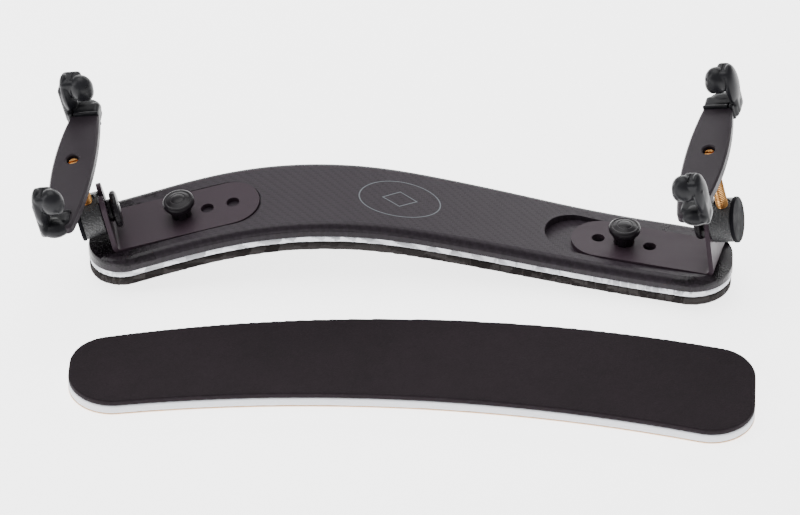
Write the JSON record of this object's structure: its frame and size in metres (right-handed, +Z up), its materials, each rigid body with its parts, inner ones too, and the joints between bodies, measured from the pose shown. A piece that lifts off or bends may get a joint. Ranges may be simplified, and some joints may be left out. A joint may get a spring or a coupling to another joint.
{
  "type": "violin shoulder rest",
  "caption": "Curved carbon-shell shoulder rest with foam layers, sliding slotted brackets, swivelling forks with rubber hook feet, and a loose spare pad.",
  "frame": {"origin": "on the table, under the middle of the box round the rest and its spare pad", "axes": "+X to the right along the rest as the player's side is seen, -Y towards the player's side and the spare pad, +Z up"},
  "size_m": [0.2294, 0.1068, 0.072],
  "materials": {
    "carbon_shell": "satin",
    "grey_foam": "matte",
    "black_foam": "matte",
    "liner_paper": "matte",
    "bracket_metal": "satin",
    "steel": "satin",
    "knob_plastic": "satin",
    "clamp_plastic": "satin",
    "crinkle_black": "satin",
    "brass": "satin",
    "fork_black": "satin",
    "foot_rubber": "matte"
  },
  "bodies": {
    "rest_body": {"shell": "carbon_shell", "grey_foam": "grey_foam", "black_foam": "black_foam"},
    "left_bracket": {"left_bracket": "bracket_metal", "left_slide_nut": "steel"},
    "left_thumb_stud": {"left_thumb_stud": "steel"},
    "left_thumb_knob": {"left_thumb_knob": "knob_plastic"},
    "left_clamp": {"left_clamp_washer": "clamp_plastic"},
    "left_barrel": {"left_barrel": "crinkle_black", "left_barrel_cap": "crinkle_black", "left_clamp_stud": "steel"},
    "left_clamp_nut": {"left_clamp_nut": "clamp_plastic"},
    "left_height_post": {"left_height_post": "brass"},
    "left_fork": {"left_fork": "fork_black", "left_back_foot": "foot_rubber", "left_front_foot": "foot_rubber"},
    "right_bracket": {"right_bracket": "bracket_metal", "right_slide_nut": "steel"},
    "right_thumb_stud": {"right_thumb_stud": "steel"},
    "right_thumb_knob": {"right_thumb_knob": "knob_plastic"},
    "right_clamp": {"right_clamp_washer": "clamp_plastic"},
    "right_barrel": {"right_barrel": "crinkle_black", "right_barrel_cap": "crinkle_black", "right_clamp_stud": "steel"},
    "right_clamp_nut": {"right_clamp_nut": "clamp_plastic"},
    "right_height_post": {"right_height_post": "brass"},
    "right_fork": {"right_fork": "fork_black", "right_back_foot": "foot_rubber", "right_front_foot": "foot_rubber"},
    "spare_pad": {"spare_pad_liner": "liner_paper", "spare_pad_foam": "grey_foam", "spare_pad_cover": "black_foam"}
  },
  "joints": [
    {"name": "left_width", "type": "slide", "parent": "rest_body", "child": "left_bracket", "axis": [-0.9638, -0.1867, -0.1902], "range_m": [0, 0.0168]},
    {"name": "left_thumb_lift", "type": "slide", "parent": "left_bracket", "child": "left_thumb_stud", "axis": [-0.1804, -0.0686, 0.9812], "range_m": [0, 0.0014]},
    {"name": "left_thumb_turn", "type": "hinge", "parent": "left_thumb_stud", "child": "left_thumb_knob", "pos_m": [-0.0703, 0.02919, 0.0216], "axis": [-0.1804, -0.0686, 0.9812], "range_deg": [0, 720.5]},
    {"name": "left_clamp_lift", "type": "slide", "parent": "left_bracket", "child": "left_clamp", "axis": [-0.2139, -0.0751, 0.974], "range_m": [0, 0.006]},
    {"name": "left_fork_tilt", "type": "hinge", "parent": "left_clamp", "child": "left_barrel", "pos_m": [-0.09431, 0.02437, 0.02205], "axis": [-0.957, -0.1841, -0.2244], "range_deg": [-25, 25]},
    {"name": "left_clamp_nut_turn", "type": "hinge", "parent": "left_clamp", "child": "left_clamp_nut", "pos_m": [-0.09048, 0.0251, 0.02294], "axis": [0.957, 0.1841, 0.2244], "range_deg": [0, 180]},
    {"name": "left_height", "type": "slide", "parent": "left_barrel", "child": "left_height_post", "axis": [-0.2139, -0.0751, 0.974], "range_m": [0, 0.008]},
    {"name": "left_fork_turn", "type": "hinge", "parent": "left_height_post", "child": "left_fork", "pos_m": [-0.10358, 0.02174, 0.04548], "axis": [-0.2139, -0.0751, 0.974], "continuous": true},
    {"name": "right_width", "type": "slide", "parent": "rest_body", "child": "right_bracket", "axis": [0.98, -0.1991, -0.0057], "range_m": [-0.0084, 0.0084]},
    {"name": "right_thumb_lift", "type": "slide", "parent": "right_bracket", "child": "right_thumb_stud", "axis": [0.02, 0.0697, 0.9974], "range_m": [0, 0.0014]},
    {"name": "right_thumb_turn", "type": "hinge", "parent": "right_thumb_stud", "child": "right_thumb_knob", "pos_m": [0.07182, 0.03076, 0.01541], "axis": [0.02, 0.0697, 0.9974], "range_deg": [0, 720.5]},
    {"name": "right_clamp_lift", "type": "slide", "parent": "right_bracket", "child": "right_clamp", "axis": [-0.1926, 0.1112, 0.975], "range_m": [-0.006, 0]},
    {"name": "right_fork_tilt", "type": "hinge", "parent": "right_clamp", "child": "right_barrel", "pos_m": [0.09998, 0.02583, 0.02593], "axis": [0.9611, -0.1793, 0.2103], "range_deg": [-33, 17]},
    {"name": "right_clamp_nut_turn", "type": "hinge", "parent": "right_clamp", "child": "right_clamp_nut", "pos_m": [0.09614, 0.02655, 0.02509], "axis": [-0.9611, 0.1793, -0.2103], "range_deg": [0, 180]},
    {"name": "right_height", "type": "slide", "parent": "right_barrel", "child": "right_height_post", "axis": [-0.2183, -0.0259, 0.9755], "range_m": [-0.0045, 0.0035]},
    {"name": "right_fork_turn", "type": "hinge", "parent": "right_height_post", "child": "right_fork", "pos_m": [0.09748, 0.02433, 0.05557], "axis": [-0.2183, -0.0259, 0.9755], "continuous": true},
    {"name": "spare_pad_slide", "type": "slide", "parent": "rest_body", "child": "spare_pad", "axis": [0, -1, 0], "range_m": [0, 0.04]}
  ],
  "couplings": [
    {"joint": "left_thumb_turn", "follows": "left_thumb_lift", "rad_per_m": 8976},
    {"joint": "right_thumb_turn", "follows": "right_thumb_lift", "rad_per_m": 8976}
  ]
}
